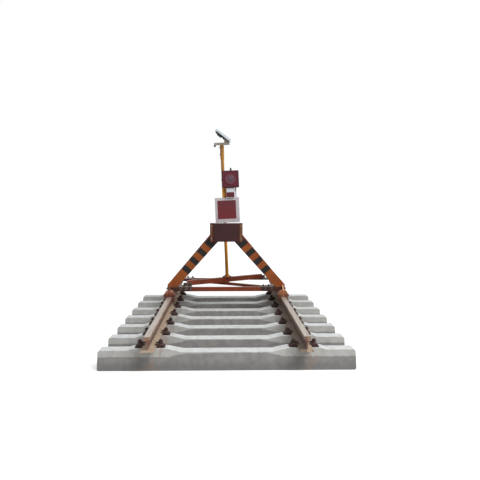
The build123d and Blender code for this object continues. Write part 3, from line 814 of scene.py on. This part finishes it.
def smooth_line(points, rounds=3):
    """Replace every corner by points at 3/4 and 1/4 of its runs, again and again, which bends the line."""
    line = np.array(points, float)
    for _ in range(rounds):
        start, end = line[:-1], line[1:]
        cut = np.stack([start * 0.75 + end * 0.25, start * 0.25 + end * 0.75], 1).reshape(-1, 3)
        line = np.concatenate([line[:1], cut, line[-1:]])
    return line


def bar(path, radius, sides=8, up=UP):
    """A round bar: path + radius * (cos(angle) * across + sin(angle) * over), square to the path's run."""
    path = np.asarray(path, float)
    run = np.gradient(path, axis=0)
    run /= np.linalg.norm(run, axis=1)[:, None]
    across = np.cross(run, up)
    across /= np.linalg.norm(across, axis=1)[:, None]
    over = np.cross(across, run)
    angle = np.linspace(0, 2 * np.pi, sides, endpoint=False)[None, :, None]
    size = np.broadcast_to(radius, len(path))[:, None, None]
    return skin(path[:, None] + size * (np.cos(angle) * across[:, None] + np.sin(angle) * over[:, None]))


print("directions round the x axis:", frame_of((1, 0, 0)).tolist())

# %% [markdown]
# ## Bolts
#
# A washer, a nut and the end of the bolt are one stack of rings. A hexagon's edge, seen from its middle,
# lies at flat / cos(angle from the middle of that flat). Cutting that radius with a circle a little
# smaller than the corners gives a nut the bevelled corners of a real one.

# %% One nut, anywhere
NUT_SIDES = 24
WASHER_THICK = 0.12
WASHER_WIDE = 1.5
CORNER_CUT = 1.14
EDGE_CUT = 1.04
BOLT_WIDE = 0.62
BOLT_TIP = 0.5


def nut(origin, axis, across, stud=0.5, tall=0.8):
    """A washer, a nut and a bolt's end, along axis from origin; tall and stud are shares of the width."""
    flat = across / 2
    angle = np.linspace(0, 2 * np.pi, NUT_SIDES, endpoint=False)
    hexagon = flat / np.cos((angle + np.pi / 6) % (np.pi / 3) - np.pi / 6)
    washer = across * WASHER_THICK
    top = washer + across * tall
    end = top + across * stud
    circle = np.full(NUT_SIDES, flat)
    sides = np.minimum(hexagon, flat * CORNER_CUT)
    layers = (
        (circle * WASHER_WIDE, 0.0), (circle * WASHER_WIDE, washer),
        (np.minimum(hexagon, flat * EDGE_CUT), washer), (sides, washer * 1.5),
        (sides, top - washer * 0.8), (circle, top),
        (circle * BOLT_WIDE, top), (circle * BOLT_WIDE, end - across * 0.08), (circle * BOLT_TIP, end),
    )
    rings = [np.column_stack([r * np.cos(angle), r * np.sin(angle), np.full(NUT_SIDES, height)])
             for r, height in layers]
    return skin(placed(np.stack(rings), origin, axis))


print("points in one nut:", len(nut((0, 0, 0), UP, 0.02)[0]))

# %% [markdown]
# ## Rail clips
#
# Each rail is held down on each sleeper by two sprung clips, one on either side. A clip is a round bar
# of spring steel bent like a letter w: its two free ends press on the rail's foot, its middle loop lies
# under the nut of a tall bolt, and its two bends rest on a guide block that keeps the rail in gauge.
# Half of the bar's line is given by a few points and mirrored.

# %% Where the clips stand
SLEEPERS = 7
FOOT_HALF = (rail_high.x - rail_low.x) / 2
BOLT_FROM_FOOT = 0.036

seats = []
for index in range(SLEEPERS):
    low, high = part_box(f"sleeper_{index + 1}")
    for rail_side in (-1, 1):
        for outward in (-1, 1):
            x = rail_side * RAIL_X + outward * (FOOT_HALF + BOLT_FROM_FOOT)
            seats.append((np.array((x, (low.y + high.y) / 2, high.z)), outward))
print("clips:", len(seats))

# %% Clips, guide blocks and their bolts
CLIP_BAR = 0.0065
CLIP_HALF = (
    (-0.052, 0.046, 0.0315), (-0.030, 0.049, 0.037), (0.000, 0.047, 0.034), (0.026, 0.043, 0.022),
    (0.036, 0.030, 0.0150), (0.028, 0.015, 0.0190), (0.004, 0.015, 0.033), (-0.014, 0.014, 0.040),
    (-0.026, 0.004, 0.041),
)
GUIDE_OUTLINE = (
    (-0.0350, 0.0015), (-0.0350, 0.024), (-0.022, 0.029), (0.008, 0.027), (0.016, 0.010), (0.044, 0.007),
    (0.044, 0.0015),
)
GUIDE_LENGTH = 0.112
CLIP_BOLT = 0.036
CLIP_TOP = 0.0475

clip_steel = painted("clip_steel", (70, 46, 42), (50, 38, 36), rust=1.1, dust=0.15, roughness=0.7)
half = np.array(CLIP_HALF)
clip_line = smooth_line(np.concatenate([half, half[::-1] * (1, -1, 1)]))


def guide_block(spot, outward):
    """The guide's outline in x and z, at both ends of its length along the track."""
    x, z = np.array(GUIDE_OUTLINE).T
    ends = (-GUIDE_LENGTH / 2, GUIDE_LENGTH / 2)
    return skin(spot + np.stack([np.column_stack([x * outward, np.full(len(x), y), z]) for y in ends]))


make("rail_clips", [bar(spot + clip_line * (outward, 1, 1), CLIP_BAR) for spot, outward in seats],
     "rail_steel", clip_steel)
make("guide_blocks", [guide_block(spot, outward) for spot, outward in seats], "rail_steel", clip_steel, 20.0)
make("clip_bolts", [nut(spot + (0, 0, CLIP_TOP), UP, CLIP_BOLT, stud=0.2, tall=0.52) for spot, _ in seats],
     "rail_steel", clip_steel)

# %% [markdown]
# ## Bolts on the stop
#
# The claws are drawn together by bolts through both jaws, and the plate between the jaws is bolted to
# the leg. Smaller bolts hold the corner plates, the braces, the cleats and the foot of the mast. Each
# spot is worked out from the box of the node that carries the bolt.

# %% Nuts on claws
SIDES = ((-1, "left"), (1, "right"))
CLAW_BOLT = 0.030
CLAW_BOLT_RISE = 0.020
CLAW_BOLT_SHARES = (0.27, 0.73)

claw_nuts = []
for row in ("front", "rear"):
    for _, side_name in SIDES:
        low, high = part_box(f"{row}_claw_{side_name}")
        for share in CLAW_BOLT_SHARES:
            y = low.y + (high.y - low.y) * share
            for face, axis in ((high.x, 1), (low.x, -1)):
                spot = (face, y, RAIL_TOP + CLAW_BOLT_RISE)
                claw_nuts.append(nut(spot, (axis, 0, 0), CLAW_BOLT, stud=0.15, tall=0.4))
make("claw_bolts", claw_nuts, "claw_orange")

# %% Nuts on plates, cleats and mast foot
PLATE_NUT = 0.020
PLATE_STEPS = (0.035, 0.105)
TIE_LINE = 0.034
FLANGE_DROP = 0.023
BEAM_LINE = 0.026
REAR_LINE = 0.025
BRACE_END = 0.16
CLEAT_NUT = 0.018
CLEAT_SHARES = (0.22, 0.78)
FOOT_NUT = 0.014
FOOT_INSET = 0.022

small_nuts = []
for side, side_name in SIDES:
    low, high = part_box(f"front_gusset_{side_name}")
    inner, outer = (low.x, high.x) if side > 0 else (high.x, low.x)
    for step in PLATE_STEPS:
        x = inner + side * step
        small_nuts.append(nut((x, low.y, high.z - FLANGE_DROP), FORWARD, PLATE_NUT, stud=0.3))
        small_nuts.append(nut((x, low.y + TIE_LINE, high.z), UP, PLATE_NUT))
        small_nuts.append(nut((outer - side * BEAM_LINE, high.y - step, high.z), UP, PLATE_NUT))
    low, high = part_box(f"rear_gusset_{side_name}")
    inner = low.x if side > 0 else high.x
    spots = [(inner + side * step, high.y - REAR_LINE, high.z) for step in PLATE_STEPS]
    spots.append((inner + side * BRACE_END, high.y - BRACE_END, high.z))
    small_nuts += [nut(spot, UP, PLATE_NUT) for spot in spots]
for name, facing in (("front_cleat", -1), ("rear_cleat", 1)):
    low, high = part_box(name)
    face = low.y if facing < 0 else high.y
    for share in CLEAT_SHARES:
        spot = (low.x + (high.x - low.x) * share, face, (low.z + high.z) / 2)
        small_nuts.append(nut(spot, (0, facing, 0), CLEAT_NUT, stud=0.3))
for x in (base_low.x + FOOT_INSET, base_high.x - FOOT_INSET):
    for y in (base_low.y + FOOT_INSET, base_high.y - FOOT_INSET):
        small_nuts.append(nut((x, y, base_high.z), UP, FOOT_NUT, stud=0.2, tall=0.5))
make("frame_bolts", small_nuts, "red_brown", clip_steel)

# %% Nuts on lugs
LUG_BOLT = 0.022
LUG_BOLT_BACK = 0.121
LUG_BOLT_RISE = 0.098

lug_nuts = []
for side, side_name in SIDES:
    low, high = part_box(f"base_beam_{side_name}")
    spot = (high.x if side > 0 else low.x, low.y + LUG_BOLT_BACK, RAIL_TOP + LUG_BOLT_RISE)
    lug_nuts.append(nut(spot, (side, 0, 0), LUG_BOLT, stud=0.3, tall=0.5))
make("lug_bolts", lug_nuts, "zinc")

# %% [markdown]
# ## Weld beads
#
# A weld bead is a thin bar that swells and shrinks a little with every pass of the rod. A sine along its
# length gives the ripple. Beads run where the legs stand on the beams, below the posts, down the seams
# beside the striking plate, and along both sides of the plates that carry the claws.

# %% Beads along the seams
BEAD_RADIUS = 0.0042
BEAD_STEP = 0.004
RIPPLE = 0.007
RIPPLE_SHARE = 0.18
PROUD = 0.001
LEG_FOOT_INNER = 0.657
POST_SEAM = (0.166, 0.208)
SEAM_END = 0.01
LUG_HALF = 0.007
LUG_SEAM = (0.052, 0.003)


def bead(start, end, up=UP):
    """A rippled bar along a straight run: radius * (1 + share * sin(2 pi * distance / ripple))."""
    start, end = np.array(start, float), np.array(end, float)
    length = np.linalg.norm(end - start)
    along = np.linspace(0, 1, max(3, int(length / BEAD_STEP)))[:, None]
    swell = BEAD_RADIUS * (1 + RIPPLE_SHARE * np.sin(2 * np.pi * along[:, 0] * length / RIPPLE))
    return bar(start + (end - start) * along, swell, sides=6, up=up)


beads = []
beam_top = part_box("front_tie")[1].z
box_low, box_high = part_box("head_box")
for side, side_name in SIDES:
    low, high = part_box(f"front_leg_{side_name}")
    outer = side * max(abs(low.x), abs(high.x))
    for y in (low.y - PROUD, high.y + PROUD):
        beads.append(bead((side * LEG_FOOT_INNER, y, beam_top), (outer, y, beam_top)))
    outer += side * PROUD
    beads.append(bead((outer, low.y, beam_top), (outer, high.y, beam_top)))
    post_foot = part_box(f"head_post_{side_name}")[0].z
    beads.append(bead(*((side * x, low.y - PROUD, post_foot) for x in POST_SEAM)))
    seam = (box_low.z + SEAM_END, box_high.z - SEAM_END)
    beads.append(bead(*((side * box_high.x, box_low.y - PROUD, z) for z in seam), (0, 1, 0)))
    for face in (FRAME_FRONT - END_PLATE, FRAME_BACK + END_PLATE):
        for edge in (-LUG_HALF, LUG_HALF):
            run = [(side * RAIL_X + edge, face, beam_top - drop) for drop in LUG_SEAM]
            beads.append(bead(*run, (0, 1, 0)))
weld_paint = painted("weld_paint", (112, 60, 40), (92, 50, 34), rust=0.5, dust=0.2)
make("weld_beads", beads, "red_brown", weld_paint)

# %% [markdown]
# ## The lamp's lens
#
# A warning lamp's lens is moulded in rings, so that it throws its light straight ahead. From the middle
# outwards, the height of the surface is a slow dome less a small saw-tooth, and a narrow groove parts
# the middle disc from the ring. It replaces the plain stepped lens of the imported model.

# %% Ribbed lens
lens_low, lens_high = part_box("lamp_lens")
lens_middle = ((lens_low.x + lens_high.x) / 2, lens_high.y, (lens_low.z + lens_high.z) / 2)
LENS_PLAY = 0.0002
LENS_RADIUS = (lens_high.x - lens_low.x) / 2 - LENS_PLAY
LENS_DEPTH = lens_high.y - lens_low.y
DOME_MIDDLE = 0.94
DOME_FALL = 0.30
TOOTH_HEIGHT = 0.0011
TOOTH_PITCH = 0.0045
GROOVE_DEPTH = 0.003
GROOVE_HALF = 0.0012


def lens_profile():
    """Height = dome that falls as radius squared - fraction of (radius / pitch) - a bell-shaped groove."""
    radius = np.linspace(LENS_RADIUS, 0.001, 120)
    dome = LENS_DEPTH * (DOME_MIDDLE - DOME_FALL * (radius / LENS_RADIUS) ** 2)
    tooth = TOOTH_HEIGHT * ((radius / TOOTH_PITCH) % 1.0)
    groove = GROOVE_DEPTH * np.exp(-((radius - LENS_STEP) / GROOVE_HALF) ** 2)
    rim = [(LENS_RADIUS, 0.0), (LENS_RADIUS, dome[0] * 0.9)]
    return rim + list(zip(radius, dome - tooth - groove))


lens_shape = turned(lens_profile(), lens_middle, FORWARD, 64)
lens = make("lens_ribs", [lens_shape], "lens_red", flat_above=60)
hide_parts("lamp_lens")

# %% [markdown]
# ## Solar panel
#
# The panel is an aluminium frame round a sheet of glass with dark blue cells. It tilts on its bar, so the
# cells are laid out in the panel's own directions: along its slope, along the track and square to it.
# Each cell is a thin tile with cut corners. A sheet closes the underside, near black as painted shade,
# and below it hang a junction box and the two rails that the panel is bolted to.

# %% The panel's own directions
PANEL_TILT = math.radians(40.0)
ALONG_TRACK = np.array((0, 1, 0))
TILE_CUT = 0.1

mast_up = np.array((-math.sin(MAST_LEAN), 0, math.cos(MAST_LEAN)))
mast_across = np.array((math.cos(MAST_LEAN), 0, math.sin(MAST_LEAN)))
panel_along = mast_up * math.sin(PANEL_TILT) - mast_across * math.cos(PANEL_TILT)
panel_normal = mast_up * math.cos(PANEL_TILT) + mast_across * math.sin(PANEL_TILT)
panel_middle = np.array(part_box("solar_panel")).mean(0)
quarter_turn = np.array(((0, 1), (-1, 0)))
corner = np.array(((0.5, 0.5 - TILE_CUT), (0.5 - TILE_CUT, 0.5)))
tile = np.concatenate([corner @ np.linalg.matrix_power(quarter_turn, turn) for turn in range(4)])


def slab(along, deep, height, size):
    """A tile: middle + slope * (along + x) + track * (deep + y) + normal * height, at both of its faces."""
    slope = along + tile[:, :1] * size[0]
    track = deep + tile[:, 1:] * size[1]
    flat = panel_middle + panel_along * slope + ALONG_TRACK * track
    return skin(np.stack([flat + panel_normal * level for level in (height, height + size[2])]))


print("panel's middle:", panel_middle.round(3).tolist(), "faces:", panel_normal.round(3).tolist())

# %% Cells, back sheet, junction box and rails
PANEL_SLOPE = 0.250
PANEL_DEPTH = 0.350
PANEL_THICKNESS = 0.030
PANEL_RIM = 0.012
GLASS_RECESS = 0.0025
GLASS_MARGIN = 0.008
CELL_ROWS = 4
CELL_COLUMNS = 9
CELL_GAP = 0.003
CELL_THICKNESS = 0.0006
SHEET_THICKNESS = 0.0006
SHEET_INSET = 0.004
SHEET_SUNK = 0.0002
FITTING_GAP = 0.0005
JUNCTION_AT = (0.045, -0.02)
JUNCTION_BOX = (0.075, 0.110, 0.0215)
JUNCTION_LID = (0.060, 0.090, 0.004)
RAIL_AT = -0.055
RAIL_DEPTHS = (-0.12, 0.12)
PANEL_RAIL = (0.090, 0.022, 0.0095)

cell_along = (PANEL_SLOPE - 2 * PANEL_RIM - GLASS_MARGIN) / CELL_ROWS
cell_deep = (PANEL_DEPTH - 2 * PANEL_RIM - GLASS_MARGIN) / CELL_COLUMNS
glass = PANEL_THICKNESS / 2 - GLASS_RECESS
under = -PANEL_THICKNESS / 2
cell = (cell_along - CELL_GAP, cell_deep - CELL_GAP, CELL_THICKNESS)
cells = [
    slab((row - (CELL_ROWS - 1) / 2) * cell_along, (column - (CELL_COLUMNS - 1) / 2) * cell_deep, glass, cell)
    for row in range(CELL_ROWS) for column in range(CELL_COLUMNS)
]
solar_glass = smooth("solar_glass", (30, 38, 62), (24, 30, 50), 0.16, **{"Coat Weight": 0.6})
make("solar_cells", cells, "panel_frame", solar_glass)
sheet = (PANEL_SLOPE - SHEET_INSET, PANEL_DEPTH - SHEET_INSET, SHEET_THICKNESS + SHEET_SUNK)
# The back sheet's near-black colour is painted shade for the panel's underside.
shaded_back_sheet = smooth("shaded_back_sheet", (40, 40, 44), (30, 30, 33), 0.9, shine=0.03)
make("panel_back", [slab(0, 0, under - SHEET_THICKNESS, sheet)], "black", shaded_back_sheet)
hang = under - FITTING_GAP
box_foot = hang - JUNCTION_BOX[2]
fittings = [
    slab(*JUNCTION_AT, box_foot, JUNCTION_BOX),
    slab(*JUNCTION_AT, box_foot - JUNCTION_LID[2], JUNCTION_LID),
]
fittings += [slab(RAIL_AT, deep, hang - PANEL_RAIL[2], PANEL_RAIL) for deep in RAIL_DEPTHS]
make("panel_fittings", fittings, "black")

# %% [markdown]
# ## Bands on the mast's head, and the gland on the bar
#
# The sleeve at the top of the mast is drawn tight by two worm-screw bands, whose screw housings stand
# out to the left. A dark cable gland hangs under the bar's left-hand end.

# %% Bands and gland
BAND_RISES = (1.817, 1.719)
BAND_HEIGHT = 0.012
BAND_INNER = 0.028
BAND_OUTER = 0.0295
SCREW_OUT = 0.033
SCREW_PROFILE = ((0.004, -0.012), (0.006, -0.011), (0.006, 0.011), (0.004, 0.012))
GLAND_PROFILE = (
    (0.009, 0.0), (0.011, -0.003), (0.0145, -0.007), (0.0155, -0.014), (0.0145, -0.021), (0.008, -0.027),
)
GLAND_IN = 0.012
GLAND_SUNK = 0.003

base_middle = np.array((MAST_FOOT_X, (base_low.y + base_high.y) / 2, base_high.z))


def on_mast(across, up, forward=0.0):
    """A point given beside, up and in front of the foot of the leaning mast."""
    return base_middle + mast_across * across + mast_up * up - ALONG_TRACK * forward


band_profile = (
    (BAND_INNER, 0), (BAND_OUTER, 0), (BAND_OUTER, BAND_HEIGHT), (BAND_INNER, BAND_HEIGHT),
)
bands = [turned(band_profile, on_mast(0, rise), mast_up, 40) for rise in BAND_RISES]
make("mast_bands", bands, "mast_yellow")
housings = [on_mast(-SCREW_OUT, rise + BAND_HEIGHT / 2) for rise in BAND_RISES]
make("band_screws", [turned(SCREW_PROFILE, spot, (0, 1, 0), 12) for spot in housings], "zinc", clip_steel)

bar_low, bar_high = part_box("panel_bar")
gland_spot = (bar_low.x + GLAND_IN, (bar_low.y + bar_high.y) / 2, bar_low.z + GLAND_SUNK)
make("bar_gland", [turned(GLAND_PROFILE, gland_spot, UP)], "black")

# %% [markdown]
# ## Screws, clamp bolts and the conduit
#
# Round-headed bolts stand at both ends of the ribs on the head's posts. Screws close the lamp and the
# control box, and a bolt through its one ear closes each clamp round the mast. A thin conduit runs down
# beside the mast from the lamp to the back of the sign.

# %% Round heads on posts, lamp and box
HEAD_SUNK = 0.001
RIB_INWARDS = 0.0225
RIB_RISES = (0.766, 0.935)
LAMP_CENTRE = (0.099, 1.371)
LAMP_FACE = 0.114
LAMP_REACH = (0.104, 0.105)
BOX_CENTRE = (0.092, 1.184)
BOX_FACE = 0.090
BOX_REACH = (0.046, -0.054)
RIB_HEAD = (0.0075, 0.005)
LAMP_HEAD = (0.005, 0.003)
BOX_HEAD = (0.004, 0.0025)


def round_head(spot, size, sides=12):
    """A domed head, facing forward: height = tall * (1/4 + 3/4 * (1 - share of the radius, squared))."""
    radius, tall = size
    share = np.concatenate([[1.0], np.linspace(1.0, 0.02, 7)])
    dome = list(zip(radius * share, tall * 0.25 + tall * 0.75 * (1 - share * share)))
    return turned([(radius, -HEAD_SUNK)] + dome, spot, FORWARD, sides)


rib_bolts = []
for side, side_name in SIDES:
    low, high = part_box(f"head_post_{side_name}")
    x = side * (max(abs(low.x), abs(high.x)) - RIB_INWARDS)
    rib_bolts += [round_head((x, low.y, RAIL_TOP + rise), RIB_HEAD, 16) for rise in RIB_RISES]
make("rib_bolts", rib_bolts, "zinc")

screws = []
for left in (-1, 1):
    for over in (-1, 1):
        across, up = LAMP_CENTRE[0] + left * LAMP_REACH[0], LAMP_CENTRE[1] + over * LAMP_REACH[1]
        screws.append(round_head(on_mast(across, up, LAMP_FACE), LAMP_HEAD))
    spot = on_mast(BOX_CENTRE[0] + left * BOX_REACH[0], BOX_CENTRE[1] + BOX_REACH[1], BOX_FACE)
    screws.append(round_head(spot, BOX_HEAD))
make("lamp_screws", screws, "black")

# %% Clamp bolts, conduit and the weld round the mast's foot
CLAMP_BOLT = 0.013
CLAMP_EAR = 0.038
CLAMP_HALF = 0.005
CLAMP_RISES = (0.8525, 1.0275, 1.371)
CONDUIT_RADIUS = 0.0062
CONDUIT_ACROSS = 0.0285
CONDUIT_FORWARD = 0.010
CONDUIT_RISES = (1.0455, 1.252)
FOOT_WELD = ((0.0315, -0.001), (0.031, 0.002), (0.0285, 0.005), (0.0235, 0.0085))

clamp_bolts = []
for rise in CLAMP_RISES:
    for facing in (-1, 1):
        spot = on_mast(CLAMP_EAR, rise, -facing * CLAMP_HALF)
        clamp_bolts.append(nut(spot, (0, facing, 0), CLAMP_BOLT, stud=0.3 if facing > 0 else 0.0))
make("clamp_bolts", clamp_bolts, "zinc")

# Painted light: the conduit's yellow is lighter than the mast's, which offsets the lamp's shadow on it.
lit_conduit_paint = painted("lit_conduit_paint", (214, 142, 44), (192, 122, 36), rust=0.1, dust=0.1)
conduit_line = [on_mast(CONDUIT_ACROSS, rise, CONDUIT_FORWARD) for rise in np.linspace(*CONDUIT_RISES, 12)]
make("lamp_conduit", [bar(conduit_line, CONDUIT_RADIUS, 16, (0, 1, 0))], "mast_yellow", lit_conduit_paint)
make("mast_foot_weld", [turned(FOOT_WELD, base_middle, UP, 40)], "red_brown", weld_paint)

# %% [markdown]
# ## Floor
#
# The floor is a plain pale sheet. Only the camera and mirrors see its faint glow, which grows with the
# distance until the sheet is as white as the sky, and puts no light on the object. It is stage, not part
# of the object.

# %% Floor and finish
FLOOR_REACH = 40.0
FLOOR_COLOUR = (225, 225, 223)
FLOOR_GLOW = 0.8
NEAR_GLOW = (205, 205, 205)
GLOW_SPAN = (3.0, 14.0)


def pale_floor():
    """Glow = near grey to white as the root of (x squared + y squared) goes over the span."""
    mesh = bpy.data.meshes.new("floor")
    corners = [(x * FLOOR_REACH, y * FLOOR_REACH, 0) for x, y in ((-1, -1), (1, -1), (1, 1), (-1, 1))]
    mesh.from_pydata(corners, [], [(0, 1, 2, 3)])
    floor = bpy.data.objects.new("floor", mesh)
    bpy.context.scene.collection.objects.link(floor)
    f = Finish("floor")
    away = (f.x * f.x + f.y * f.y).root().rise(*GLOW_SPAN)
    seen = f.ray("Camera").most(f.ray("Glossy"))
    glow = f.blend(seen, (0, 0, 0), f.blend(away, NEAR_GLOW, (255, 255, 255)))
    f.colour = paint(*FLOOR_COLOUR)
    mesh.materials.append(f.done(0.9, **{"Emission Color": glow, "Emission Strength": FLOOR_GLOW}))


pale_floor()
